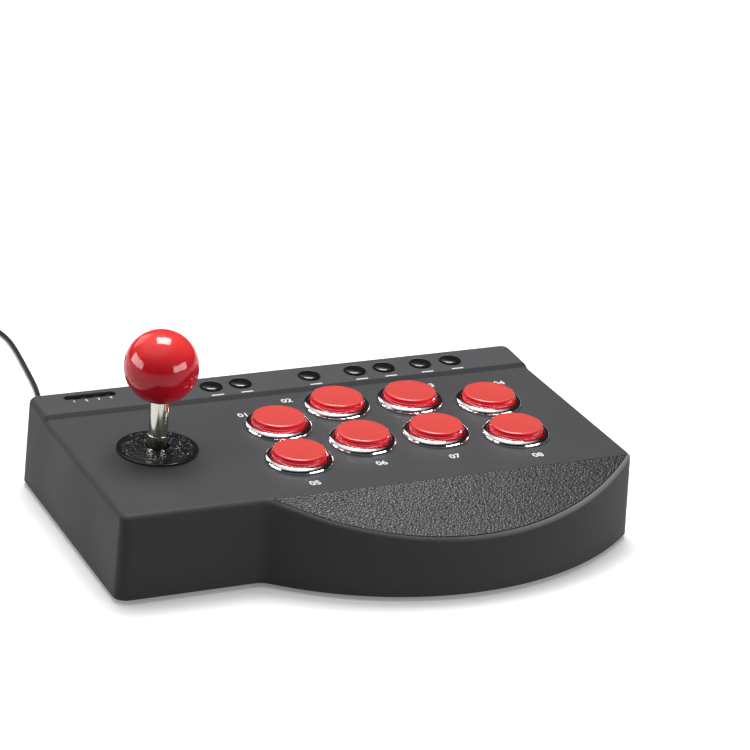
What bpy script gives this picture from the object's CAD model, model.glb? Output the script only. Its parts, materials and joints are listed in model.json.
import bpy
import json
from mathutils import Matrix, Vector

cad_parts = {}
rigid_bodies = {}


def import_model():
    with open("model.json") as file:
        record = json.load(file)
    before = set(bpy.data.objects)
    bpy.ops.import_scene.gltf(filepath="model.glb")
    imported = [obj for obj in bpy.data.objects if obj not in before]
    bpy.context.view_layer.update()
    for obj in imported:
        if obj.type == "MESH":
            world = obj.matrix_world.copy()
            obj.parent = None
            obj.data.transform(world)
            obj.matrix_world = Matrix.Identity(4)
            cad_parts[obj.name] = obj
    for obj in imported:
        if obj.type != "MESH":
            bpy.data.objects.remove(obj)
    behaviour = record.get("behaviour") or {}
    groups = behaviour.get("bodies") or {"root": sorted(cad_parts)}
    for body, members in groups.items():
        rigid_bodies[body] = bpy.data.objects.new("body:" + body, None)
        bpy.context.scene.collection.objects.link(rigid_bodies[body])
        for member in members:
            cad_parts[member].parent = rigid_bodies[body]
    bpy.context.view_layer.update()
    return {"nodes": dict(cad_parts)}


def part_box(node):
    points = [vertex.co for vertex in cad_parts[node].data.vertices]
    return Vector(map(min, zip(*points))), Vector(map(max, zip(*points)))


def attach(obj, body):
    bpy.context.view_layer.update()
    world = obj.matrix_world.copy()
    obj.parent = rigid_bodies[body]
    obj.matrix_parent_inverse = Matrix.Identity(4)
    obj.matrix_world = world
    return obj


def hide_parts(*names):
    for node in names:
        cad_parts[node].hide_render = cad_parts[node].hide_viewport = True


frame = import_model()

import json
import math
import bmesh
import bpy
import numpy as np
from mathutils import Matrix, Vector

mm = 0.001
scene = bpy.context.scene
print("frame loaded:", len(frame["nodes"]), "nodes")

# Camera: the photograph's viewing angle, for a picture 750 pixels wide and high
cameraView = {
    "place": (-573.4 * mm, -1205.3 * mm, 649.2 * mm),
    "yaw": 25.97,              # degrees to the right of the line straight ahead
    "pitch": 23.12,            # degrees downwards
    "roll": -4.5,              # degrees
    "lens": 148.7,             # millimetres
    "sensor": 36,              # millimetres wide
    "nearest": 0.01,           # metres
    "farthest": 20,
}


def makeCamera(look):
    # forward from yaw and pitch, then the level right and down axes turned by the roll
    yaw, pitch, roll = (math.radians(look[k]) for k in ("yaw", "pitch", "roll"))
    forward = Vector((math.sin(yaw) * math.cos(pitch), math.cos(yaw) * math.cos(pitch), -math.sin(pitch)))
    level = Vector((math.cos(yaw), -math.sin(yaw), 0))
    plumb = forward.cross(level)
    right = math.cos(roll) * level + math.sin(roll) * plumb
    down = math.cos(roll) * plumb - math.sin(roll) * level
    data = bpy.data.cameras.new("camera")
    data.sensor_width, data.lens = look["sensor"], look["lens"]
    data.clip_start, data.clip_end = look["nearest"], look["farthest"]
    camera = bpy.data.objects.new("camera", data)
    turn = Matrix((right, -down, -forward)).transposed().to_4x4()
    camera.matrix_world = Matrix.Translation(look["place"]) @ turn
    scene.collection.objects.link(camera)
    scene.camera = camera


makeCamera(cameraView)
print("camera placed")


# Mesh tools
def welded(points, faces):
    # points that fall together become one, and a face drops the corners that it repeats
    _, first, back = np.unique(np.round(points, 8), axis=0, return_index=True, return_inverse=True)
    corners = back.reshape(-1)[faces]
    rings = [[c for i, c in enumerate(face) if c != face[i - 1]] for face in corners.tolist()]
    return points[first], [ring for ring in rings if len(ring) > 2]


def gridFaces(rows, columns, closeRows=False, closeColumns=True):
    # quads between neighbouring rows and columns of a grid numbered row by row
    r = np.arange(rows if closeRows else rows - 1)[:, None]
    c = np.arange(columns if closeColumns else columns - 1)[None, :]
    nextRow, nextColumn = (r + 1) % rows, (c + 1) % columns
    corners = [row * columns + column for row, column in (
        (r, c), (r, nextColumn), (nextRow, nextColumn), (nextRow, c))]
    return np.stack([np.broadcast_to(k, (r.size, c.size)) for k in corners], -1).reshape(-1, 4)


def smoothed(mesh, crease, merge=0, flat=0, outward=True):
    # points nearer than merge become one, faces within flat degrees become one, faces turn outwards,
    # and all is smooth but for creases sharper than an angle in degrees
    shape = bmesh.new()
    shape.from_mesh(mesh)
    if merge:
        bmesh.ops.remove_doubles(shape, verts=shape.verts, dist=merge)
    if flat:
        bmesh.ops.dissolve_limit(shape, angle_limit=math.radians(flat), verts=shape.verts, edges=shape.edges)
    if outward:
        bmesh.ops.recalc_face_normals(shape, faces=shape.faces)
    shape.to_mesh(mesh)
    shape.free()
    mesh.polygons.foreach_set("use_smooth", np.ones(len(mesh.polygons), bool))
    mesh.set_sharp_from_angle(angle=math.radians(crease))


def place(name, mesh, material, body, stands=()):
    # an object at the origin that rides on a body and stands for nodes
    piece = bpy.data.objects.new(name, mesh)
    scene.collection.objects.link(piece)
    mesh.materials.clear()
    mesh.materials.append(material)
    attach(piece, body)
    if stands:
        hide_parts(*stands)
    return piece


def addPiece(name, points, faces, material, body, stands=(), slot=None, crease=32):
    mesh = bpy.data.meshes.new(name)
    spots, rings = welded(np.asarray(points, float).reshape(-1, 3), np.asarray(faces))
    mesh.from_pydata(spots.tolist(), [], rings)
    smoothed(mesh, crease)
    return place(name, mesh, material, body, stands)


def joined(parts):
    # several (points, faces) pairs as one, with the later faces numbered on from the earlier points
    points, faces, start = [], [], 0
    for spots, rings in parts:
        points.append(spots)
        faces.append(np.asarray(rings) + start)
        start += len(spots)
    return np.concatenate(points), np.concatenate(faces)


def roundedProfile(corners, radii, steps=5):
    # each corner of an outline gives way to a quadratic curve, tangent to both sides, as far along as an
    # arc of its radius would start
    corners = np.asarray(corners, float)
    outline = []
    for i, corner in enumerate(corners):
        before, after = corners[i - 1] - corner, corners[(i + 1) % len(corners)] - corner
        a, b = np.linalg.norm(before), np.linalg.norm(after)
        if radii[i] <= 0 or a == 0 or b == 0:
            outline.append(corner[None])
            continue
        before, after = before / a, after / b
        half = math.acos(float(np.clip(before @ after, -1, 1))) / 2
        reach = min(radii[i] / math.tan(half), 0.49 * min(a, b))
        t = np.linspace(0, 1, steps + 1)[:, None]
        start, end = corner + before * reach, corner + after * reach
        outline.append((1 - t) ** 2 * start + 2 * t * (1 - t) * corner + t ** 2 * end)
    return np.concatenate(outline)


def around(steps):
    # the angles of even steps round a circle
    return np.linspace(0, 2 * np.pi, steps, endpoint=False)


def revolved(profile, centre, turns=96, closed=True):
    # radius and height of a profile, turned round the upright line through a centre
    r, z = np.asarray(profile, float).T
    a = around(turns)
    x = centre[0] + np.outer(r, np.cos(a))
    y = centre[1] + np.outer(r, np.sin(a))
    points = np.stack([x, y, np.broadcast_to(centre[2] + z[:, None], x.shape)], -1)
    return points.reshape(-1, 3), gridFaces(len(r), turns, closed)


def tubeAlong(path, radius, sides):
    # a ring of points square to the path at each of its points, with flat ends
    along = np.gradient(path, axis=0)
    along[0], along[-1] = path[1] - path[0], path[-1] - path[-2]
    along /= np.linalg.norm(along, axis=1, keepdims=True)
    side = np.cross(along, [0, 0, 1.0])
    side /= np.linalg.norm(side, axis=1, keepdims=True)
    up = np.cross(side, along)
    a = around(sides)[None, :, None]
    rings = path[:, None] + radius * (np.cos(a) * side[:, None] + np.sin(a) * up[:, None])
    ends = [path[:1].repeat(sides, 0)[None], rings, path[-1:].repeat(sides, 0)[None]]
    return np.concatenate(ends).reshape(-1, 3), gridFaces(len(path) + 2, sides)


def boxOf(node):
    low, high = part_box(node)
    return np.array(low), np.array(high)


def middleOf(node):
    low, high = boxOf(node)
    return (low + high) / 2


def onTop(node, height):
    # the point over the middle of a node at a height
    middle = middleOf(node)
    return np.array([middle[0], middle[1], height])


def addTurned(name, profile, node, height, material, body, slot, crease, turns=96, closed=True):
    # a profile turned over the middle of the node that it stands for, with its zero at a height
    points, faces = revolved(profile, onTop(node, height), turns, closed)
    return addPiece(name, points, faces, material, body, (node,), slot, crease)


# Material tools
def feed(node, key, value):
    # an input, by its name or number, takes a link from another node's output or else a constant
    socket = node.inputs[key]
    if hasattr(value, "is_linked"):
        node.id_data.links.new(value, socket)
    elif socket.type == "RGBA":
        socket.default_value = (*value, 1)
    else:
        socket.default_value = value


def addNode(tree, kind, inputs, output, operation=None):
    # a new node with its inputs fed, of which one output is given back
    node = tree.nodes.new(kind)
    if operation:
        node.operation = operation
    for key, value in inputs.items():
        feed(node, key, value)
    return node.outputs[output]


def surface(tree, **values):
    # inputs of the material's shader, some under shorter names
    names = {"baseColour": "Base Color", "specular": "Specular IOR Level", "coat": "Coat Weight",
             "coatRoughness": "Coat Roughness", "scatter": "Subsurface Weight",
             "scatterReach": "Subsurface Radius", "glowColour": "Emission Color", "glow": "Emission Strength"}
    for key, value in values.items():
        feed(tree.nodes["Principled BSDF"], names.get(key, key.capitalize()), value)


def newMaterial(name, colour, roughness=0.5, **gloss):
    material = bpy.data.materials.new(name)
    material.use_nodes = True
    surface(material.node_tree, baseColour=colour, roughness=roughness, **gloss)
    return material, material.node_tree


def objectPlace(tree, scale=(1, 1, 1)):
    spot = addNode(tree, "ShaderNodeTexCoord", {}, "Object")
    return addNode(tree, "ShaderNodeMapping", {"Vector": spot, "Scale": scale}, "Vector")


def noiseOf(tree, spot, size, detail=2, roughness=0.5):
    # noise whose patches are about as wide as a size in metres
    inputs = {"Vector": spot, "Scale": 1 / size, "Detail": detail, "Roughness": roughness}
    return addNode(tree, "ShaderNodeTexNoise", inputs, "Fac")


def between(tree, value, low, high, fromLow=0, fromHigh=1):
    # a value carried from one range to another
    inputs = {"Value": value, "From Min": fromLow, "From Max": fromHigh, "To Min": low, "To Max": high}
    return addNode(tree, "ShaderNodeMapRange", inputs, "Result")


def mathOf(tree, operation, first, second):
    return addNode(tree, "ShaderNodeMath", {0: first, 1: second}, "Value", operation)


def vectorOf(tree, operation, inputs, output="Value"):
    return addNode(tree, "ShaderNodeVectorMath", inputs, output, operation)


def blended(tree, amount, first, second):
    # the first colour where the amount is 0 and the second where it is 1, on the node's colour sockets
    colour = addNode(tree, "ShaderNodeMix", {0: amount, 6: first, 7: second}, 2)
    colour.node.data_type = "RGBA"
    return colour


def bumped(tree, height, depth, strength):
    # a height field, its full range a depth in metres, that tilts the surface
    inputs = {"Height": height, "Distance": depth, "Strength": strength}
    surface(tree, normal=addNode(tree, "ShaderNodeBump", inputs, "Normal"))


def upward(tree, low, high):
    # 0 where the surface's normal rises less than low, 1 where it rises more than high
    normal = addNode(tree, "ShaderNodeNewGeometry", {}, "Normal")
    return between(tree, addNode(tree, "ShaderNodeSeparateXYZ", {"Vector": normal}, "Z"), 0, 1, low, high)


def shaded(colour, factor):
    return tuple(min(c * factor, 1.0) for c in colour)


def patchy(name, colour, patch, roughness, shades=None, detail=2, span=(0, 1), grain=None, **gloss):
    # noise patches carry the colour between two shades of it, or two colours, and the roughness between
    # two values over a span of the noise; the grain is a finer noise's size, depth and strength
    material, tree = newMaterial(name, colour, **gloss)
    spot = objectPlace(tree)
    noise = noiseOf(tree, spot, patch, detail)
    surface(tree, roughness=between(tree, noise, *roughness, *span))
    if shades:
        pair = [shade if isinstance(shade, tuple) else shaded(colour, shade) for shade in shades]
        surface(tree, baseColour=blended(tree, noise, *pair))
    if grain:
        bumped(tree, noiseOf(tree, spot, grain[0]), *grain[1:])
    return material


# Cord: the points of part.scad in metres, with the coil worked out by its rule
cordLook = {
    "diameter": 2.6 * mm,
    "sides": 14,
    "coilMiddle": 16 * mm,     # radius at the middle of the turns
    "coilStep": 3.2 * mm,      # from one turn or layer to the next
    "layers": 4,
    "turnsPerLayer": 4,
    "ringsPerTurn": 48,
    "colour": (0.018, 0.018, 0.02),
    "shades": ((0.014, 0.014, 0.016), (0.024, 0.024, 0.026)),
}
leadPoints = np.array([
    (-102, 111, 20), (-102, 116, 20), (-101.7, 123, 19), (-100.8, 131, 16), (-99.3, 140, 11),
    (-97.4, 149, 6.2), (-95.2, 158, 2.8), (-93, 167, 1.5), (-90.8, 177, 1.3), (-88.4, 190, 1.3),
    (-86.6, 204, 1.3), (-84.8, 220, 1.3), (-83.2, 236, 1.3), (-82.4, 250, 1.3), (-83, 260, 1.3),
    (-85.2, 270, 1.3), (-88.6, 279, 1.3), (-91.2, 288, 1.3), (-92, 296, 1.3)]) * mm
tailPoints = np.array([
    (-92, 301.2, 10.9), (-92, 305.5, 10.9), (-93, 313, 9.9), (-96, 321, 7.5), (-101, 328.5, 4.7),
    (-108, 334.5, 2.5), (-117, 338.5, 1.6), (-126, 340, 2.4), (-134, 340, 3.8), (-140, 340, 3.8)]) * mm


def smoothPath(points, steps=6):
    # Catmull-Rom spans through the points, with the end spans straight on
    padded = np.concatenate([2 * points[:1] - points[1:2], points, 2 * points[-1:] - points[-2:-1]])
    t = np.linspace(0, 1, steps, endpoint=False)[None, :, None]
    a, b, c, d = (padded[i:len(padded) - 3 + i, None] for i in range(4))
    bend, twist = 2 * a - 5 * b + 4 * c - d, 3 * b - a - 3 * c + d
    spans = 0.5 * (2 * b + (c - a) * t + bend * t ** 2 + twist * t ** 3)
    return np.concatenate([spans.reshape(-1, 3), points[-1:]])


def coilPath(look, start):
    # the radius falls and rises by one step a turn, and the height climbs where the radius reverses
    perLayer, step = look["turnsPerLayer"], look["coilStep"]
    turns = np.arange(look["layers"] * perLayer * look["ringsPerTurn"] + 1) / look["ringsPerTurn"]
    outer = look["coilMiddle"] + step * perLayer / 2
    folded = turns % (2 * perLayer)
    radius = outer - step * np.minimum(folded, 2 * perLayer - folded)
    level = np.round(turns / perLayer)
    rise = np.clip(2 * (turns - level * perLayer) + 0.5, 0, 1)
    climb = np.where(level < 1, 0, np.where(level >= look["layers"], look["layers"] - 1, level - 1 + rise))
    middle = start + np.array([-outer, look["diameter"], 0])
    angle = 2 * np.pi * turns
    return middle + np.stack([radius * np.cos(angle), radius * np.sin(angle), step * climb], -1)


def makeCord(look):
    coil = coilPath(look, leadPoints[-1])
    path = np.concatenate([smoothPath(leadPoints)[:-1], coil[:-1], smoothPath(tailPoints)])
    sheath = patchy("cordRubber", look["colour"], 9 * mm, (0.36, 0.5), look["shades"],
                    grain=(0.35 * mm, 0.02 * mm, 0.5))
    cord = addPiece("cord", *tubeAlong(path, look["diameter"] / 2, look["sides"]), sheath, "case",
                    ("cord_lead", "cord_coil", "cord_tail"), "cord", 60)
    length = float(np.linalg.norm(np.diff(path, axis=0), axis=1).sum())
    makePlug(plugLook, sheath)
    makeRelief(reliefLook, sheath)
    return length


reliefLook = {
    "flange": 6 * mm,
    "flangeDepth": 1.6 * mm,
    "neck": 3.9 * mm,
    "collar": 4.8 * mm,
    "collarLength": 2.4 * mm,
    "tip": 2.1 * mm,
    "length": 24 * mm,         # outside the case
    "round": 0.3 * mm,
    "grooves": 6,
    "grooveDepth": 0.7 * mm,
    "grooved": 0.94,           # share of the taper with grooves
}


def makeRelief(look, sheath):
    # a taper turned round the cord's line, its radius dipping at each groove, with a flange inside the wall
    low, high = boxOf("cord_relief")
    middle = middleOf("cord_relief")
    length, edge = look["length"], look["round"]
    wallLine = high[1] - length
    along = np.linspace(look["collarLength"], length, 160)
    share = (along - along[0]) / (along[-1] - along[0])
    wave = np.clip(np.sin(2 * np.pi * look["grooves"] * share - np.pi / 2), 0, 1) ** 0.5
    groove = look["grooveDepth"] * wave * (share < look["grooved"])
    radius = look["collar"] + (look["tip"] - look["collar"]) * share ** 0.85 - groove
    inner = low[1] - wallLine
    shelf = inner + look["flangeDepth"]
    flange = roundedProfile([
        (0, inner), (look["flange"], inner), (look["flange"], shelf), (look["neck"], shelf),
        (look["neck"], edge), (look["collar"], edge)], (0, edge, edge, 0, 0, 0.4 * mm))
    profile = np.concatenate([flange, np.stack([radius, along], -1), [(0, length)]])
    points, faces = revolved(profile, (0, 0, 0), 64, closed=False)
    turned = np.stack([middle[0] + points[:, 0], wallLine + points[:, 2], middle[2] + points[:, 1]], -1)
    return addPiece("strainRelief", turned, faces, sheath, "case", ("cord_relief",), "cord", 40)


plugLook = {
    "gripLength": 21 * mm,
    "gripWidth": 12.6 * mm,
    "gripHeight": 7.2 * mm,
    "squareness": 3.4,         # power of the superellipse sections
    "reliefLength": 8 * mm,
    "reliefStart": 4.2 * mm,   # its thickness at the cord
    "reliefEnd": 6.2 * mm,     # and at the grip
    "ridges": 4,
    "ridgeDepth": 0.5 * mm,
    "shell": (12 * mm, 12 * mm, 4.5 * mm),   # length, width, height
    "shellWall": 0.4 * mm,
    "shellRound": 0.7 * mm,
    "tongue": (11.6 * mm, 11 * mm, 1.8 * mm),
    "tongueRise": 1.0 * mm,    # over the shell's middle
    "resin": (0.72, 0.72, 0.68),
    "resinShades": ((0.66, 0.66, 0.61), (0.76, 0.76, 0.72)),
}


def sectionLoft(stations, widths, heights, power, sides=48):
    # superellipse sections of changing width and height, one at each station along x
    c, s = np.cos(around(sides)), np.sin(around(sides))
    y = np.sign(c) * np.abs(c) ** (2 / power)
    z = np.sign(s) * np.abs(s) ** (2 / power)
    rows = np.stack([np.broadcast_to(stations[:, None], (len(stations), sides)),
                     widths[:, None] * y / 2, heights[:, None] * z / 2], -1)
    caps = [rows[:1] * [1, 0, 0], rows, rows[-1:] * [1, 0, 0]]
    return np.concatenate(caps).reshape(-1, 3), gridFaces(len(stations) + 2, sides)


def makePlug(look, sheath):
    # the tapered relief and grip as one loft, a folded steel shell and a pale tongue inside it
    start = tailPoints[-1]
    relief, grip, thin, thick = (look[k] for k in ("reliefLength", "gripLength", "reliefStart", "reliefEnd"))
    long, *section = look["shell"]
    gripShares = np.array([0.02, 0.06, 0.12, 0.3, 0.7, 0.88, 0.95, 0.985, 1.0])
    x = np.concatenate([np.linspace(0, relief, 30), relief + grip * gripShares])
    share = np.clip(x / relief, 0, 1)
    ridged = (np.sin(2 * np.pi * look["ridges"] * share) > 0.2) * (share < 1) * (share > 0.05)
    swell = np.interp(x, relief + grip * np.array([0, 0.02, 0.06, 0.12, 0.95, 0.985, 1.0]),
                      [0, 0.55, 0.8, 1, 1, 0.97, 0.9])
    neck = thin + (thick - thin) * share - look["ridgeDepth"] * ridged
    width, height = (neck + (look[k] - thick) * swell for k in ("gripWidth", "gripHeight"))
    points, faces = sectionLoft(-x, width, height, look["squareness"])
    plug = addPiece("plugGrip", points + start, faces, sheath, "case", ("usb_plug",), "cord", 40)
    shellStart = start - np.array([relief + grip, 0, 0])
    outer = np.array([(-1, -1), (1, -1), (1, 1), (-1, 1)]) * section / 2
    ring = roundedProfile(outer, [look["shellRound"]] * 4)
    hole = ring * (1 - 2 * look["shellWall"] / np.array(section))
    layers = [(ring, 0), (ring, long), (hole, long), (hole, 0)]
    rows = np.stack([np.column_stack([np.full(len(r), -depth), r]) for r, depth in layers])
    shell = addPiece("plugShell", rows.reshape(-1, 3) + shellStart, gridFaces(4, len(ring), True),
                     brightSteel(), "case", slot="steel", crease=30)
    middle = shellStart + [-(look["tongue"][0] / 2), 0, look["tongueRise"]]
    resin = patchy("paleResin", look["resin"], 2 * mm, (0.34, 0.48), look["resinShades"])
    tongue = addPiece("plugTongue", *plainBox(middle, look["tongue"]), resin, "case", slot="switch",
                      crease=30)
    shell.parent = tongue.parent = plug
    return plug


def plainBox(middle, size):
    # eight corners about a middle and the six sides between them
    signs = np.array([(x, y, z) for x in (-1, 1) for y in (-1, 1) for z in (-1, 1)])
    sides = np.array([(0, 1, 3, 2), (4, 6, 7, 5), (0, 4, 5, 1), (2, 3, 7, 6), (0, 2, 6, 4), (1, 5, 7, 3)])
    return np.asarray(middle) + signs * np.asarray(size) / 2, sides


def brightSteel():
    # nickel plating: fine rings and a little wear in its roughness
    material = patchy("brightSteel", (0.62, 0.61, 0.59), 5 * mm, (0.11, 0.26),
                      ((0.56, 0.55, 0.53), (0.68, 0.67, 0.66)), 4, (0.3, 0.7), metallic=1)
    tree = material.node_tree
    bumped(tree, noiseOf(tree, objectPlace(tree, (0.2, 0.2, 6)), 1.2 * mm, 3), 0.012 * mm, 0.35)
    return material


cordLength = makeCord(cordLook)
print("cord made:", round(cordLength, 3), "m")

# Case: the moulded shell and its bottom cover
casePlan = {
    "restWidth": 189.5 * mm,
    "restReach": 37 * mm,
    "fall": 0.385,             # drop towards the front for each unit of length
    "draft": 1.5 * mm,
    "edge": 1.5 * mm,
    "margin": 0.5 * mm,
    "proud": 0.3 * mm,
    "stripDepth": 27.5 * mm,   # from the back edge to the foot of the step
    "stepDepth": 3 * mm,
    "stepHeight": 1.4 * mm,
    "stripRise": 0.9 * mm,     # from the step to the back edge
    "ringHeight": 2.9 * mm,    # of a bright ring on the deck
}
caseLook = {
    "colour": (0.066, 0.0668, 0.0695),
    "strip": (0.079, 0.080, 0.083),
    "step": (0.036, 0.0365, 0.038),
    "lip": (0.19, 0.192, 0.20),  # the polished lip at the right end of the rest's edge
    "lipReach": (-20 * mm, 60 * mm),  # where it fades in, to the right of the rest's middle
    "soft": 0.3 * mm,          # half the width of the change from one tone to the next
    "cover": (0.022, 0.022, 0.024),
    "grain": 0.30 * mm,        # width of the moulded texture's bumps
    "grainDepth": 0.02 * mm,
    "crease": 24,              # degrees past which an edge stays sharp
    "edge": 0.25 * mm,         # rounding of the cut edges
}


def softPlastic(name, colour, look):
    # matte moulding: fine grain, faint cloudy shade and slightly polished patches
    material = patchy(name, colour, 45 * mm, (0.44, 0.56), (0.93, 1.07), 3, (0.3, 0.7), specular=0.10)
    tree = material.node_tree
    bumped(tree, noiseOf(tree, objectPlace(tree), look["grain"], 2, 0.6), look["grainDepth"], 0.6)
    return material


def restArc(plan):
    # the middle of the arc that spans the rest's width at its reach, and the radius of the inlay's edge
    low, high = boxOf("upper_shell")
    radius = (plan["restWidth"] ** 2 / 4 + plan["restReach"] ** 2) / (2 * plan["restReach"])
    inner = radius - plan["draft"] - plan["edge"] - plan["margin"]
    return high[0] - plan["restWidth"] / 2, low[1] + radius, inner


def deckLevel():
    # the bright rings lie on the deck
    return boxOf("bezel_1")[1][2] - casePlan["ringHeight"]


def tinted(tree, colour, *shares):
    # another colour where all the shares are 1
    share = shares[0]
    for other in shares[1:]:
        share = mathOf(tree, "MULTIPLY", share, other)
    under = tree.nodes["Principled BSDF"].inputs["Base Color"].links[0].from_socket
    surface(tree, baseColour=blended(tree, share, under, colour))


def shadeCase(tree, look, plan):
    # a paler strip, a darker step before it, and a polished lip round the right end of the rest
    middleX, middleY, inner = restArc(plan)
    spot, soft = objectPlace(tree), look["soft"]
    x, y = (addNode(tree, "ShaderNodeSeparateXYZ", {"Vector": spot}, axis) for axis in "XY")
    foot = boxOf("upper_shell")[1][1] - plan["stripDepth"]
    head = foot + plan["stepDepth"]
    onStrip = between(tree, y, 0, 1, head - soft, head + soft)
    beforeStrip = between(tree, y, 1, 0, head - soft, head + soft)
    pastDeck = between(tree, y, 0, 1, foot - soft, foot + soft)
    tinted(tree, look["strip"], onStrip, upward(tree, 0.95, 0.99))
    tinted(tree, look["step"], pastDeck, beforeStrip, upward(tree, 0.6, 0.8))
    # the distance from the arc's middle, seen from above
    flat = vectorOf(tree, "MULTIPLY_ADD", {0: spot, 1: (1, 1, 0), 2: (-middleX, -middleY, 0)}, "Vector")
    band = between(tree, vectorOf(tree, "LENGTH", {0: flat}), 0, 1, inner, inner + soft)
    side = between(tree, x, 0, 1, *(middleX + reach for reach in look["lipReach"]))
    tinted(tree, look["lip"], band, side, upward(tree, 0.1, 0.35))


def smoothCopy(node, name, material, body, crease, edge):
    # the node's own surface, its loose triangles merged and shaded smooth, with its cut edges rounded
    mesh = frame["nodes"][node].data.copy()
    mesh.name = name
    smoothed(mesh, crease, merge=0.002 * mm, flat=0.3, outward=False)
    piece = place(name, mesh, material, body, (node,))
    rounding = piece.modifiers.new("edges", "BEVEL")
    rounding.width = edge
    rounding.segments = 2
    rounding.limit_method = "ANGLE"
    rounding.angle_limit = math.radians(50)
    rounding.harden_normals = False
    weights = piece.modifiers.new("normals", "WEIGHTED_NORMAL")
    weights.keep_sharp = True
    weights.weight = 100


def makeCase(look, plan):
    shell, cover = (softPlastic(name, look[key], look) for name, key in (
        ("casePlastic", "colour"), ("coverPlastic", "cover")))
    shadeCase(shell.node_tree, look, plan)
    smoothCopy("upper_shell", "caseShell", shell, "case", look["crease"], look["edge"])
    smoothCopy("bottom_cover", "baseCover", cover, "case", look["crease"], look["edge"])


makeCase(caseLook, casePlan)
print("case made")

# Feet: soft discs with a rounded rim and two shallow grooves below
footLook = {
    "rim": 0.7 * mm,
    "round": 0.1 * mm,
    "grooveRadii": (0.35, 0.65),   # shares of the foot's radius
    "grooveWidth": 0.5 * mm,
    "grooveDepth": 0.35 * mm,
    "colour": (0.012, 0.012, 0.012),
}


def makeFeet(look):
    rubber = patchy("footRubber", look["colour"], 3 * mm, (0.6, 0.8), (1, 2.2), 4,
                    grain=(0.25 * mm, 0.02 * mm, 0.5), specular=0.35)
    half, deep, edge = look["grooveWidth"] / 2, look["grooveDepth"], look["round"]
    for i in range(1, 6):
        node = f"foot_{i}"
        low, high = boxOf(node)
        radius, tall = (high[0] - low[0]) / 2, high[2]
        corners, radii = [(0, 0)], [0]
        for share in look["grooveRadii"]:
            r = share * radius
            corners += [(r - half, 0), (r - half / 2, deep), (r + half / 2, deep), (r + half, 0)]
            radii += [edge] * 4
        corners += [(radius, 0), (radius, tall), (0, tall)]
        radii += [look["rim"], edge, 0]
        addTurned(f"foot{i}", roundedProfile(corners, radii), node, 0, rubber, "case", "rubber", 32)


makeFeet(footLook)
screwLook = {
    "head": 2.7 * mm,
    "height": 0.7 * mm,
    "fallOff": 0.35,           # share of its height that the dome loses at its edge
    "recess": 0.45 * mm,
    "recessReach": 0.62,       # share of the head's radius
    "slotWidth": 0.75 * mm,
    "inset": 10.5 * mm,        # from the case's sides
    "sunk": 1 * mm,            # into the cover
    "colour": (0.05, 0.05, 0.052),
}


def makeScrews(look, plan):
    # a domed head at each post, its cross recess a dip in the head's polar grid
    low, high = boxOf("upper_shell")
    front, back, inset = low[1], high[1], look["inset"]
    face = front + plan["restReach"]
    left, right = low[0] + inset, high[0] - inset
    spots = [(left, face + 1.4 * inset), (left, back - 1.2 * inset), (right, back - 1.2 * inset),
             (right, face + inset / 2), (high[0] - plan["restWidth"] / 2, front + 1.2 * inset),
             ((low[0] - high[0]) / 6, face + 1.2 * inset)]
    seat = boxOf("bottom_cover")[0][2] + look["sunk"]
    turns = 96
    r = np.linspace(0, 1, 40)[:, None] * look["head"]
    x, y = r * np.cos(around(turns)), r * np.sin(around(turns))
    dome = look["height"] * (1 - look["fallOff"] * (r / look["head"]) ** 2)
    arm = np.minimum(np.abs(x), np.abs(y)) < look["slotWidth"] / 2
    inside = np.maximum(np.abs(x), np.abs(y)) < look["recessReach"] * look["head"]
    rows = np.stack([x, y, look["recess"] * (arm & inside) - dome], -1)
    skirt = np.stack([x[-1], y[-1], np.zeros(turns)], -1)[None]
    rows = np.concatenate([rows, skirt, skirt * [0, 0, 1]])
    head, faces = rows.reshape(-1, 3), gridFaces(len(rows), turns)
    steel = patchy("screwSteel", look["colour"], 0.8 * mm, (0.28, 0.5), (1, 3), 4, metallic=1)
    addPiece("coverScrews", *joined([(head + [*spot, seat], faces) for spot in spots]), steel, "case",
             slot="steel", crease=30)


makeScrews(screwLook, casePlan)
print("feet and screws made")

# Wrist rest: a thin inlay with a leather grain
restLook = {
    "colour": (0.068, 0.069, 0.075),
    "grooves": (0.006, 0.0065, 0.007),
    "sheen": (1.2, 0.72),      # share of the colour at its left and right ends
    "sheenEnds": (-50 * mm, 100 * mm),
    "pebble": 1.4 * mm,        # width of a pebble of the grain
    "depth": 0.38 * mm,        # from a pebble's crown to the groove beside it
    "cell": 0.30 * mm,         # spacing of the surface's points
    "edge": 0.5 * mm,          # width over which the grain dies out at the edge
    "edgeDrop": 0.18 * mm,
    "thickness": 1.0 * mm,
}


def cells(x, y, size, seed):
    # one random point in each square of a net: the distances to the nearest and the next nearest,
    # and where a place lies from the nearest one along a direction that is that point's own
    gx, gy = x / size, y / size
    ix, iy = np.floor(gx), np.floor(gy)
    nearest, second, along = np.full(x.shape, 9.0), np.full(x.shape, 9.0), np.zeros(x.shape)
    for dx in (-1, 0, 1):
        for dy in (-1, 0, 1):
            cx, cy = ix + dx, iy + dy
            h1, h2 = (np.modf(np.sin(cx * p + cy * q + seed) * 43758.5453)[0] % 1
                      for p, q in ((127.1, 311.7), (269.5, 183.3)))
            awayX, awayY = gx - cx - 0.1 - 0.8 * h1, gy - cy - 0.1 - 0.8 * h2
            d = np.hypot(awayX, awayY)
            along = np.where(d < nearest, 2 * (h1 - 0.5) * awayX + 2 * (h2 - 0.5) * awayY, along)
            second = np.minimum(second, np.maximum(nearest, d))
            nearest = np.minimum(nearest, d)
    return nearest, second, along


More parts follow.
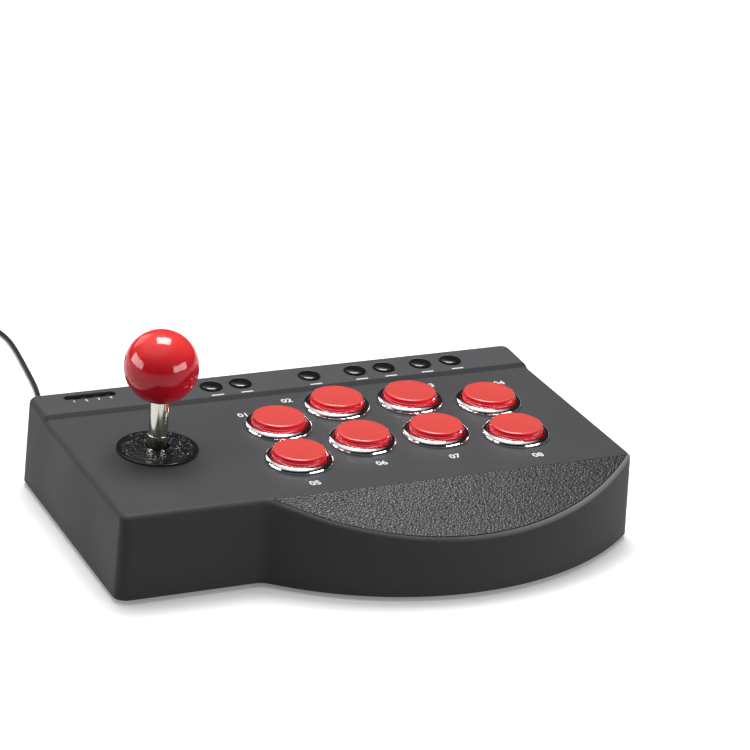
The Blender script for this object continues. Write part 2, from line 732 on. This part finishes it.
def leatherHeight(x, y, size):
    # crowned pebbles: the gap between the two distances rises from a groove to a rounded crown
    bend = 0.35 * size * np.sin(2 * np.pi * x / (3.1 * size) + 1.7 * np.sin(2 * np.pi * y / (4.3 * size)))
    nearest, second, _ = cells(x + bend, y + 0.6 * bend, size, 3.0)
    small, smallNext, _ = cells(x - 0.4 * bend, y + bend, 0.55 * size, 11.0)
    crown = np.clip((second - nearest) / 0.34, 0, 1) ** 0.6
    fine = np.clip((smallNext - small) / 0.3, 0, 1) ** 0.7
    return 0.72 * crown + 0.28 * fine * crown


def leatherGrain(look):
    # colour and gloss follow the mesh's own grain height, held as an attribute
    material, tree = newMaterial("restLeatherGrain", look["colour"], specular=0.3)
    height = addNode(tree, "ShaderNodeAttribute", {}, "Fac")
    height.node.attribute_name = "grain"
    spot = objectPlace(tree)
    x = addNode(tree, "ShaderNodeSeparateXYZ", {"Vector": spot}, "X")
    left, right = (shaded(look["colour"], share) for share in look["sheen"])
    across = blended(tree, between(tree, x, 0, 1, *look["sheenEnds"]), left, right)
    crown = blended(tree, between(tree, noiseOf(tree, spot, 30 * mm, 3), 0, 0.15), across, look["grooves"])
    surface(tree, baseColour=blended(tree, between(tree, height, 0, 1, 0.25, 0.85), look["grooves"], crown),
            roughness=between(tree, height, 0.55, 0.27))
    bumped(tree, noiseOf(tree, spot, 0.5 * mm), 0.03 * mm, 0.4)
    return material


def makeRest(look, plan):
    # a grid between the straight back edge and the front arc, raised by the grain, with a skirt below
    low, high = boxOf("rest_inlay")
    middleX, middleY, reach = restArc(plan)
    slopeY = boxOf("upper_shell")[0][1] + plan["restReach"] + plan["draft"]
    backY = slopeY - plan["margin"] / 2
    half = math.sqrt(reach ** 2 - (middleY - backY) ** 2)
    columns = int(2 * half / look["cell"])
    rows = int((high[1] - low[1]) / look["cell"])
    v = np.linspace(0, 1, rows)[:, None]
    x = middleX + half * np.linspace(-1, 1, columns)[None, :] + 0 * v
    front = middleY - np.sqrt(np.maximum(reach ** 2 - (x - middleX) ** 2, 0))
    y = backY + (front - backY) * v
    fade = np.clip(np.minimum(backY - y, y - front) / look["edge"], 0, 1) ** 0.5
    grain = leatherHeight(x, y, look["pebble"])
    level = deckLevel() - plan["fall"] * (slopeY - y) + plan["proud"] * math.hypot(1, plan["fall"])
    lift = look["depth"] * (grain - 1) * fade - look["edgeDrop"] * (1 - fade)
    tops, floor = (np.stack([x, y, z], -1).reshape(-1, 3) for z in (level + lift, level - look["thickness"]))
    # the border's points in turn, each joined to its next and to the two below them
    net = np.arange(len(tops)).reshape(rows, columns)
    border = np.concatenate([net[0], net[1:, -1], net[-1, -2::-1], net[-2:0:-1, 0]])
    below = len(tops) + np.arange(len(border))
    skirt = np.stack([border, np.roll(border, -1), np.roll(below, -1), below], -1)
    mesh = bpy.data.meshes.new("restInlay")
    faces = np.concatenate([gridFaces(rows, columns, False, False), skirt])[:, ::-1]
    mesh.from_pydata(np.concatenate([tops, floor[border]]).tolist(), [], faces.tolist())
    values = np.concatenate([(grain * fade).ravel(), np.zeros(len(border))]).astype(np.float32)
    mesh.attributes.new("grain", "FLOAT", "POINT").data.foreach_set("value", values)
    smoothed(mesh, 70, merge=0.003 * mm)
    place("restInlay", mesh, leatherGrain(look), "case", ("rest_inlay",))


makeRest(restLook, casePlan)
print("wrist rest made")

# Large buttons: a bright ring and a red cap each
ringLook = {
    "flange": 16.5 * mm,
    "inner": 13.45 * mm,
    "sleeve": 14.9 * mm,
    "low": 0.5 * mm,           # height of the outer edge
    "crown": casePlan["ringHeight"],
    "roll": 0.8 * mm,          # from the inner wall to the crown
    "turns": 160,              # points round it
    "colour": (0.74, 0.74, 0.76),
    "gap": (0.006, 0.006, 0.007),    # the wall beside the cap, kept in shade
}
capLook = {
    "radius": 13.15 * mm,
    "round": 1.3 * mm,
    "taper": 0.4 * mm,
    "ledge": 0.25 * mm,
    "ledgeDepth": 1.9 * mm,
    "dish": 0.25 * mm,
    "hollow": -10.5 * mm,      # where its skirt ends, under the deck
    "lip": 0.8 * mm,
    "lipHeight": 1.2 * mm,
    "wall": 1.6 * mm,
    "roof": 1.85 * mm,
    "stem": 4 * mm,
    "turns": 160,
    "colour": (0.79, 0.092, 0.080),
    "side": (0.84, 0.012, 0.030),
}


def ringProfile(look, sleeve):
    # a quarter ellipse from the thin outer edge up to the crown, a rolled inner edge, and the guide sleeve
    inner, outer, crown, roll = (look[k] for k in ("inner", "flange", "crown", "roll"))
    a = np.linspace(0, np.pi / 2, 28)
    slope = np.stack([inner + roll + (outer - inner - roll) * np.cos(a),
                      look["low"] + (crown - look["low"]) * np.sin(a)], -1)
    rolled = np.stack([inner + roll - roll * np.sin(a), crown - roll * (1 - np.cos(a))], -1)
    line = roundedProfile([(inner, -sleeve), (look["sleeve"], -sleeve), (look["sleeve"], 0), (outer, 0)],
                          (0.3 * mm, 0.3 * mm, 0, 0.15 * mm))
    return np.concatenate([line, slope, rolled[1:]])


def capRed(look):
    # glossy moulded red: a deeper tone where the surface turns to the side, faint swirl and hairline wear
    material, tree = newMaterial("capRed", look["colour"], specular=0.4, coat=1, coatRoughness=0.03)
    cloud = noiseOf(tree, objectPlace(tree), 14 * mm, 3)
    wear = noiseOf(tree, objectPlace(tree, (1, 6, 1)), 1.4 * mm, 4)
    top = blended(tree, cloud, shaded(look["colour"], 0.96), look["colour"])
    surface(tree, baseColour=blended(tree, upward(tree, 0.35, 0.95), look["side"], top),
            roughness=between(tree, wear, 0.10, 0.2, 0.35, 0.75),
            scatter=0.08, scatterReach=(1.2 * mm, 0.2 * mm, 0.15 * mm))
    return material


def capProfile(look, rise, low):
    # a shallow dish, a rounded edge, a tapered side over a ledge, a straight skirt with a lip, and the stem
    radius, hollow, ledge, stem = (look[k] for k in ("radius", "hollow", "ledge", "stem"))
    lip, lipTop, inside = radius + look["lip"], hollow + look["lipHeight"], radius - look["wall"]
    step, roof = rise - look["ledgeDepth"], rise - look["roof"]
    top = radius - ledge - look["taper"]
    r = np.linspace(0, top - 1.5 * look["round"], 14)
    face = np.stack([r, rise - look["dish"] * (1 - (r / r[-1]) ** 2)], -1)
    wall = roundedProfile([
        (r[-1], rise), (top, rise), (radius - ledge, step), (radius, step - 0.6 * ledge), (radius, lipTop),
        (lip, lipTop), (lip, hollow), (inside, hollow), (inside, roof), (stem, roof), (stem, low)],
        [0, look["round"], *np.multiply((0.15, 0.12, 0.1, 0.2, 0.2, 0.2, 0.6, 0.5, 0.4), mm)])
    return np.concatenate([face[:-1], wall, [(0, low)]])


def makeButtons(ring, cap):
    plate = patchy("ringPlating", ring["colour"], 4 * mm, (0.06, 0.15), (0.95, 1), 4, (0.35, 0.75),
                   metallic=1)
    dark = patchy("gapBlack", ring["gap"], 0.5 * mm, (0.5, 0.7), specular=0.2)
    red = capRed(cap)
    deckZ = deckLevel()
    for i in range(1, 9):
        node = f"bezel_{i}"
        profile = ringProfile(ring, deckZ - boxOf(node)[0][2])
        piece = addTurned(f"ring{i}", profile, node, deckZ, plate, "case", "ring", 40, ring["turns"])
        middle = np.array([face.center[:] for face in piece.data.polygons])
        across = np.hypot(*(middle[:, :2] - onTop(node, 0)[:2]).T)
        piece.data.materials.append(dark)
        hidden = (across < ring["inner"] + 0.02 * mm) | (middle[:, 2] < deckZ - 0.05 * mm)
        piece.data.polygons.foreach_set("material_index", hidden.astype(int))
        node = f"button_cap_{i}"
        low, high = boxOf(node)
        profile = capProfile(cap, high[2] - deckZ, low[2] - deckZ)
        addTurned(f"cap{i}", profile, node, deckZ, red, f"button_{i}", "red", 40, cap["turns"], False)


makeButtons(ringLook, capLook)
print("large buttons made")

# Lever: ball, rod, sleeve and washer
ballLook = {
    "radius": 17.5 * mm,
    "bore": 4.55 * mm,
    "threadBore": 3.05 * mm,
    "turns": 192,
    "colour": (0.84, 0.008, 0.030),
    "crown": (0.80, 0.050, 0.045),
}
rodLook = {
    "radius": 4.5 * mm,
    "hub": 6 * mm,
    "hubHeight": 8 * mm,
    "tail": 4 * mm,
    "thread": 3 * mm,
    "threadLength": 14 * mm,
    "pin": 2 * mm,
    "pinReach": 12.7 * mm,
    "colour": (0.52, 0.50, 0.44),
}
washerLook = {
    "radius": 19.3 * mm,
    "hole": 5.6 * mm,
    "rim": 0.9 * mm,
    "rimStart": 0.93,          # share of the radius
    "facet": 1.0 * mm,         # width of the small flat facets on its face
    "facetSlope": 0.17,        # their greatest slope
    "facetEnd": 0.91,          # share of the radius
    "colour": (0.010, 0.010, 0.012),
}


def ballRed(look):
    # glossy red, warmer towards the top
    material, tree = newMaterial("ballRed", look["colour"], specular=0.25, coat=0.06, coatRoughness=0.05)
    spot = objectPlace(tree)
    lower = blended(tree, noiseOf(tree, spot, 12 * mm, 3), shaded(look["colour"], 0.95), look["colour"])
    surface(tree, baseColour=blended(tree, upward(tree, 0.1, 0.9), lower, look["crown"]),
            roughness=between(tree, noiseOf(tree, spot, 3 * mm, 5), 0.06, 0.16, 0.35, 0.75),
            scatter=0.05, scatterReach=(1.5 * mm, 0.2 * mm, 0.2 * mm))
    return material


def makeBall(look, rod):
    # an arc from the top down to the flat seat, then the bore up to the rod's thread
    low, high = boxOf("ball_top")
    centreZ = high[2] - look["radius"]
    seat = low[2] - centreZ
    a = np.linspace(np.pi / 2, math.asin(seat / look["radius"]), 90)
    curve = np.stack([look["radius"] * np.cos(a), look["radius"] * np.sin(a)], -1)
    curve[0, 0] = 0
    rodTop = boxOf("lever_rod")[1][2] - centreZ
    shoulder, end = rodTop - rod["threadLength"], rodTop + 1 * mm
    bore = [(look["bore"], seat), (look["bore"], shoulder), (look["threadBore"], shoulder),
            (look["threadBore"], end), (0, end)]
    profile = np.concatenate([curve, bore])
    addTurned("ballTop", profile, "ball_top", centreZ, ballRed(look), "lever", "red", 30, look["turns"],
              closed=False)


def makeRod(look):
    # the turned rod with its hub, the pin across it, and the sleeve round it
    low, high = boxOf("lever_rod")
    steel = patchy("turnedSteel", look["colour"], 3 * mm, (0.09, 0.17), (0.9, 1.1), 4, (0.3, 0.7), metallic=1)
    pivot, axis = middleOf("gimbal_ring")[2], onTop("lever_rod", 0)
    hubTop, hubLow = pivot + look["hubHeight"] / 2, pivot - look["hubHeight"] / 2
    radius, tail, hub, thread, top = look["radius"], look["tail"], look["hub"], look["thread"], high[2]
    neck = top - look["threadLength"]
    body = roundedProfile([
        (0, low[2]), (tail, low[2]), (tail, hubLow), (hub, hubLow), (hub, hubTop), (radius, hubTop),
        (radius, neck), (thread, neck), (thread, top), (0, top)],
        np.array([0, 0.4, 0.2, 0.4, 0.4, 0.2, 0.2, 0.1, 0.4, 0]) * mm)
    pin, reach, edge = look["pin"], look["pinReach"], 0.3 * mm
    pinLine = roundedProfile([(0, -reach), (pin, -reach), (pin, reach), (0, reach)], (0, edge, edge, 0))
    spots, faces = revolved(pinLine, (0, 0, 0), 48)
    spots = np.stack([axis[0] + spots[:, 0], axis[1] + spots[:, 2], pivot + spots[:, 1]], -1)
    points, faces = joined([revolved(body, axis), (spots, faces)])
    addPiece("leverRod", points, faces, steel, "lever", ("lever_rod",), "steel", 35)
    low, high = boxOf("rod_sleeve")
    inner, outer = radius + 0.05 * mm, (high[0] - low[0]) / 2
    sleeve = roundedProfile([(inner, low[2]), (outer, low[2]), (outer, high[2]), (inner, high[2])],
                            np.array([0, 0.3, 0.5, 0.1]) * mm)
    addPiece("rodSleeve", *revolved(sleeve, axis), steel, "lever", ("rod_sleeve",), "steel", 35)


def makeWasher(look):
    # a polar grid: a plain rim, then a low cone of small facets that lean every way
    low, high = boxOf("dust_washer")
    tall, turns, start = high[2] - low[2], 640, look["rimStart"]
    r = np.concatenate([np.linspace(look["hole"], 0.92 * look["radius"], 108),
                        np.linspace(0.925, 1, 12) * look["radius"]])
    share = (r / look["radius"])[:, None]
    dome = look["rim"] + (tall - look["rim"]) * np.clip(1 - (share / start) ** 2.2, 0, 1) ** 0.8
    edge = np.clip((1 - share) / 0.03, 0, 1)
    rim = np.where(share > start, look["rim"] * (0.55 + 0.45 * np.sqrt(edge * (2 - edge))), dome)
    x, y = r[:, None] * np.cos(around(turns)), r[:, None] * np.sin(around(turns))
    facets = cells(x, y, look["facet"], 5.0)[2] * look["facet"] * look["facetSlope"]
    z = np.minimum(rim + (facets - 0.1 * mm) * np.clip((look["facetEnd"] - share) / 0.02, 0, 1), tall)
    under = np.stack([x[[-1, 0]], y[[-1, 0]], np.zeros((2, turns))], -1)
    rows = np.concatenate([np.stack([x, y, z], -1), under])
    black = patchy("washerBlack", look["colour"], 8 * mm, (0.07, 0.14), (1, 1.8), 3, coat=0.8,
                   coatRoughness=0.04)
    addPiece("dustWasher", rows.reshape(-1, 3) + onTop("dust_washer", low[2]),
             gridFaces(len(rows), turns, True), black, "washer", ("dust_washer",), "black_gloss", 45)


makeBall(ballLook, rodLook)
makeRod(rodLook)
makeWasher(washerLook)
print("lever made")

# Control strip: small buttons, mode switch, window and its lights
keyLook = {
    "radius": 5.4 * mm,
    "rise": 1.7 * mm,
    "edge": 0.5 * mm,
    "flange": 6.5 * mm,
    "flangeLow": 0.99 * mm,    # over the stem's foot
    "flangeHeight": 1 * mm,
    "stem": 1.5 * mm,
    "colour": (0.007, 0.007, 0.008),
}


def makeKeys(look):
    # a low dome with a softly rounded rim over a straight side, a flange and a stem
    black = patchy("keyBlack", look["colour"], 2.5 * mm, (0.07, 0.2), (1, 1.7), 4, (0.35, 0.75),
                   coat=0.5, coatRoughness=0.05)
    radius, flange, stem, crown = look["radius"], look["flange"], look["stem"], look["rise"] - look["edge"]
    t = np.linspace(0, np.pi / 2, 24)
    for i in range(1, 8):
        node = f"small_button_{i}"
        low, high = boxOf(node)
        side, under = high[2] - look["rise"] + look["edge"], low[2] + look["flangeLow"]
        dome = np.stack([radius * np.sin(t), side + crown * np.cos(t) ** 0.9], -1)
        over = under + look["flangeHeight"]
        skirt = roundedProfile([
            (radius, side), (radius, over), (flange, over), (flange, under), (stem, under), (stem, low[2]),
            (0, low[2])], np.array([0, 0.1, 0.2, 0.2, 0.1, 0.2, 0]) * mm)
        profile = np.concatenate([dome, skirt])
        addTurned(f"key{i}", profile, node, 0, black, f"key_{i}", "black_gloss", 35, closed=False)


makeKeys(keyLook)
switchLook = {
    "crease": 30,              # degrees past which an edge stays sharp
    "edge": 0.12 * mm,         # rounding of the edges
    "colour": (0.02, 0.02, 0.022),
}


def makeSwitch(look):
    black = patchy("switchPlastic", look["colour"], 1.5 * mm, (0.3, 0.48), (1, 1.6), 3,
                   grain=(0.2 * mm, 0.02 * mm, 0.4))
    smoothCopy("mode_knob", "modeKnob", black, "mode_switch", look["crease"], look["edge"])


makeSwitch(switchLook)
windowLook = {
    "length": 26.1 * mm,
    "width": 4.4 * mm,
    "flange": 0.8 * mm,        # its width and height, under the strip
    "colour": (0.012, 0.002, 0.003),
    "lights": 4,
    "lightLength": 3.4 * mm,
    "lightWidth": 2.2 * mm,
    "lightStep": 6.2 * mm,
    "lightColour": (0.004, 0.003, 0.003),
}


def stadiumOutline(length, width, steps=24):
    # two half circles joined by straight sides
    a = np.linspace(-np.pi / 2, np.pi / 2, steps)
    right = np.stack([(length - width) / 2 + width / 2 * np.cos(a), width / 2 * np.sin(a)], -1)
    return np.concatenate([right, -right])


def slabOf(outline, middle, low, high, rounding=0.0, steps=4):
    # an outline carried upwards, drawn in over a rounded top edge, and closed at both ends
    a = np.linspace(0, np.pi / 2, steps + 1) if rounding else np.zeros(1)
    size = np.abs(outline).max(0)
    layers = [(outline * 0, low), (outline, low)]
    for angle in a:
        inset = rounding * (1 - math.cos(angle))
        layers.append((outline * (1 - inset / size), high - rounding + rounding * math.sin(angle)))
    layers.append((outline * 0, high))
    rows = np.stack([np.column_stack([ring, np.full(len(ring), level)]) for ring, level in layers])
    points = rows.reshape(-1, 3) + [middle[0], middle[1], 0]
    return points, gridFaces(len(rows), len(outline))


def lightPlaces(look):
    middle = middleOf("light_window")
    count = look["lights"]
    return [middle + [(i - (count - 1) / 2) * look["lightStep"], 0, 0] for i in range(count)]


def makeWindow(look):
    # dark red resin under a clear gloss, with small dark lights let into it
    low, high = boxOf("light_window")
    middle, flange = middleOf("light_window"), look["flange"]
    foot = low[2] + flange
    wide = stadiumOutline(look["length"] + 2 * flange, look["width"] + 2 * flange)
    parts = [slabOf(wide, middle, low[2], foot),
             slabOf(stadiumOutline(look["length"], look["width"]), middle, foot, high[2], 0.2 * mm)]
    glass = patchy("smokedWindow", look["colour"], 12 * mm, (0.1, 0.22), (0.5, 1.6), coat=0.4,
                   coatRoughness=0.06)
    addPiece("lightWindow", *joined(parts), glass, "case", ("light_window",), "window", 35)
    light = stadiumOutline(look["lightLength"], look["lightWidth"])
    under, over = high[2] - 0.1 * mm, high[2] + 0.06 * mm
    lights = [slabOf(light, spot, under, over, 0.05 * mm) for spot in lightPlaces(look)]
    dark = patchy("darkLamp", look["lightColour"], 1 * mm, (0.25, 0.4))
    addPiece("windowLamps", *joined(lights), dark, "case", slot="window", crease=35)


makeWindow(windowLook)
print("control strip made")

# Printed marks: plain numbers by the large buttons and the lights, plain bars by the keys
printLook = {
    "colour": (0.80, 0.80, 0.80),
    "height": 4.0 * mm,        # of a large button's number
    "smallHeight": 2.0 * mm,   # of a light's number
    "figure": 0.72,            # height of a figure as a share of the font's size
    "bold": 0.035,             # swelling of a stroke, as a share of the height
    "lightDrop": 4.3 * mm,     # from a light down to its number
    "keyDrop": 9.2 * mm,       # from a key down to its bar
    "barLength": 6.5 * mm,
    "barWidth": 1.0 * mm,
    "thickness": 0.03 * mm,
    # places of the numbers, from the middle of each button, in shares of its ring's radius
    "places": [(-0.66, 1.06), (-1.25, 0.81), (1.08, 0.93), (1.0, 1.27),
               (-0.12, -1.47), (-0.04, -1.47), (-0.1, -1.51), (0, -1.45)],
}


def numberMesh(text, height, look):
    # the outline of a number as a thin plate, its middle at the origin
    data = bpy.data.curves.new("number", "FONT")
    data.body, data.size = text, height / look["figure"]
    data.align_x = data.align_y = "CENTER"
    data.offset, data.extrude = look["bold"] * height, look["thickness"] / 2
    helper = bpy.data.objects.new("number", data)
    scene.collection.objects.link(helper)
    bpy.context.view_layer.update()
    mesh = bpy.data.meshes.new_from_object(helper.evaluated_get(bpy.context.evaluated_depsgraph_get()))
    bpy.data.objects.remove(helper)
    return mesh


def stripTop(plan):
    # where the strip's sloped top starts, its height there, and its rise for each unit of length
    back = boxOf("upper_shell")[1][1]
    length = plan["stripDepth"] - plan["stepDepth"]
    return back - length, deckLevel() + plan["stepHeight"], plan["stripRise"] / length


def makePrints(look, plan):
    ink = patchy("printInk", look["colour"], 0.5 * mm, (0.42, 0.58), (0.86, 1), 3)
    front, level, rise = stripTop(plan)
    marks = []
    for i, (sx, sy) in enumerate(look["places"]):
        spot = onTop(f"bezel_{i + 1}", deckLevel()) + np.array([sx, sy, 0]) * ringLook["flange"]
        marks.append((f"0{i + 1}", look["height"], spot, 0))
    for i, (x, y, z) in enumerate(lightPlaces(windowLook)):
        y -= look["lightDrop"]
        marks.append((str(i + 1), look["smallHeight"], (x, y, level + rise * (y - front)), math.atan(rise)))
    shape = bmesh.new()
    for text, height, spot, lean in marks:
        mesh = numberMesh(text, height, look)
        raised = Matrix.Translation(Vector(spot) + Vector((0, 0, look["thickness"] / 2)))
        mesh.transform(raised @ Matrix.Rotation(lean, 4, "X"))
        shape.from_mesh(mesh)
        bpy.data.meshes.remove(mesh)
    print("marks:", len(marks))
    mesh = bpy.data.meshes.new("printedNumbers")
    shape.to_mesh(mesh)
    shape.free()
    place("printedNumbers", mesh, ink, "case")
    bars, bar = [], stadiumOutline(look["barLength"], look["barWidth"])
    for i in range(1, 8):
        spot = middleOf(f"small_button_{i}") - [0, look["keyDrop"], 0]
        points, faces = slabOf(bar, spot, 0, look["thickness"])
        points[:, 2] += level + rise * (points[:, 1] - front)
        bars.append((points, faces))
    addPiece("printedBars", *joined(bars), ink, "case", slot="ring", crease=35)


makePrints(printLook, casePlan)
print("prints made")

# Inner pieces: boards, domes, switches and the lever's housing
innerLook = {
    # node: its material, colour and middle roughness
    "lever_housing": ("housingPlastic", (0.022, 0.023, 0.025), 0.45),
    "restrictor_gate": ("gatePlastic", (0.03, 0.03, 0.033), 0.35),
    "dust_slide": ("slidePlastic", (0.03, 0.03, 0.033), 0.5),
    "actuator": ("actuatorPlastic", (0.70, 0.70, 0.66), 0.4),
    "microswitches": ("switchBodies", (0.20, 0.022, 0.018), 0.4),
    "contact_dome_": ("domeSilicone", (0.26, 0.27, 0.28), 0.6),
}
boardLook = {
    "colour": (0.008, 0.075, 0.03),
    "copper": (0.012, 0.13, 0.05),
    "scale": 160,
    "track": 0.06,             # share of a brick
}


def circuitBoard(look):
    # lacquered board, its tracks the mortar of a brick pattern
    material, tree = newMaterial("circuitBoard", look["colour"])
    spot = objectPlace(tree)
    inputs = {"Vector": spot, "Scale": look["scale"], "Mortar Size": look["track"], "Color1": look["colour"],
              "Color2": shaded(look["colour"], 1.15), "Mortar": look["copper"]}
    tracks = addNode(tree, "ShaderNodeTexBrick", inputs, "Color")
    surface(tree, baseColour=tracks, roughness=between(tree, noiseOf(tree, spot, 5 * mm), 0.24, 0.4))
    bumped(tree, tracks.node.outputs["Fac"], 0.03 * mm, 0.4)
    return material


def finishInside(look, board):
    materials = {"gimbal_ring": brightSteel(), "lever_spring": brightSteel(), "_board": circuitBoard(board)}
    for key, (name, colour, rough) in look.items():
        materials[key] = patchy(name, colour, 7 * mm, (rough - 0.07, rough + 0.07), (0.88, 1.12), 3,
                                grain=(0.3 * mm, 0.02 * mm, 0.5))
    for node, piece in frame["nodes"].items():
        for key, material in materials.items():
            if key in node:
                piece.data.materials.clear()
                piece.data.materials.append(material)


finishInside(innerLook, boardLook)
print("inner pieces finished")

# Floor and light
stageLook = {
    "floor": (0.95, 0.95, 0.95),
    "floorBounce": (0.12, 0.12, 0.12),   # the floor's colour where its light falls on the object
    "floorGlow": 0.18,         # how far the paper fills its own shadows for the camera and for gloss
    "fade": (0.7, 1.5),        # distances in metres over which it turns white of itself for the camera
    "size": 6.0,
    "world": (1.0, 1.0, 1.0),
    "horizon": 0.02,           # strength of the studio's walls
    "ceiling": 1.1,            # strength of its bright ceiling
    "ceilingAxis": (-0.20, 0.15, 0.97),
    "ceilingShares": (0.58, 0.95),   # cosines from the axis where the ceiling starts and is full
    # pieces whose names start so mirror the cards
    "bright": ("ballTop", "leverRod", "rodSleeve", "ring"),
}
lamps = {
    # name: place, target, width, height, power in watts, and what it gives: light, gloss or both
    "overhead": ((0.13, 0.41, 1.36), (-0.05, 0, 0.06), 0.72, 0.62, 17, "both"),
    "left": ((-1.27, 0.38, 0.34), (-0.09, 0, 0.06), 1.20, 0.45, 4.6, "light"),
    "right": ((0.92, -1.02, 0.36), (0, 0, 0.06), 1.40, 0.50, 8.4, "light"),
    "leftCard": ((-1.28, 0.38, 0.34), (-0.09, 0, 0.06), 1.20, 0.45, 18, "gloss"),
    "rightCard": ((0.83, -1.11, 0.36), (0, 0, 0.06), 1.20, 0.45, 20, "gloss"),
    "backCard": ((-0.37, 1.16, 0.62), (0.03, 0.03, 0.06), 0.7, 0.6, 2.4, "gloss"),
    "overheadCard": ((0.13, 0.41, 1.37), (-0.05, 0, 0.06), 0.72, 0.62, 25, "gloss"),
}


def floorPaper(look):
    # pale paper: its own colour for the camera and for gloss, a darker one for the light that it throws back
    material, tree = newMaterial("floorPaper", look["floor"], 0.8, specular=0.1)
    camera, gloss, through = (addNode(tree, "ShaderNodeLightPath", {}, f"Is {ray} Ray")
                              for ray in ("Camera", "Glossy", "Transmission"))
    seen = mathOf(tree, "MAXIMUM", mathOf(tree, "MAXIMUM", camera, gloss), through)
    # far from the lamps the paper stays white for the camera: the glow grows with the distance
    distance = vectorOf(tree, "LENGTH", {0: addNode(tree, "ShaderNodeTexCoord", {}, "Object")})
    far = between(tree, distance, 0, 1 - look["floorGlow"], *look["fade"])
    near = between(tree, seen, 0, look["floorGlow"])
    surface(tree, baseColour=blended(tree, seen, look["floorBounce"], look["floor"]),
            glowColour=look["floor"], glow=mathOf(tree, "ADD", near, mathOf(tree, "MULTIPLY", far, camera)))
    return material


def makeFloor(look):
    half = look["size"] / 2
    mesh = bpy.data.meshes.new("floor")
    corners = [(x * half, y * half, 0) for x, y in ((-1, -1), (1, -1), (1, 1), (-1, 1))]
    mesh.from_pydata(corners, [], [(0, 1, 2, 3)])
    floor = bpy.data.objects.new("floor", mesh)
    scene.collection.objects.link(floor)
    mesh.materials.append(floorPaper(look))


def makeSky(look):
    # a bright ceiling over dark walls, its strength by the cosine from its axis, and white for the camera
    world = scene.world = bpy.data.worlds.new("studio")
    world.use_nodes = True
    tree = world.node_tree
    sky, axis = addNode(tree, "ShaderNodeTexCoord", {}, "Generated"), look["ceilingAxis"]
    cosine = vectorOf(tree, "DOT_PRODUCT", {0: sky, 1: axis})
    glow = between(tree, cosine, look["horizon"], look["ceiling"], *look["ceilingShares"])
    glow.node.interpolation_type = "SMOOTHSTEP"
    camera = addNode(tree, "ShaderNodeLightPath", {}, "Is Camera Ray")
    feed(tree.nodes["Background"], "Color", look["world"])
    feed(tree.nodes["Background"], "Strength", mathOf(tree, "MAXIMUM", glow, camera))


def makeLamps(look, lights):
    # the cards shine only on the bright parts, so that the flat tops never mirror them
    bright = bpy.data.collections.new("brightParts")
    for piece in list(bpy.data.objects):
        if piece.type == "MESH" and piece.name.startswith(look["bright"]):
            bright.objects.link(piece)
    for name, (spot, target, width, height, power, role) in lights.items():
        data = bpy.data.lights.new(name, "AREA")
        data.shape = "RECTANGLE"
        data.size, data.size_y, data.energy = width, height, power
        lamp = bpy.data.objects.new(name, data)
        aim = Vector(target) - Vector(spot)
        lamp.matrix_world = Matrix.Translation(spot) @ aim.to_track_quat("-Z", "Y").to_matrix().to_4x4()
        lamp.visible_diffuse = role != "gloss"
        lamp.visible_glossy = role != "light"
        if role == "gloss":
            lamp.light_linking.receiver_collection = bright
        scene.collection.objects.link(lamp)


makeFloor(stageLook)
makeSky(stageLook)
makeLamps(stageLook, lamps)
scene.view_settings.view_transform = "Standard"
print("stage lit")
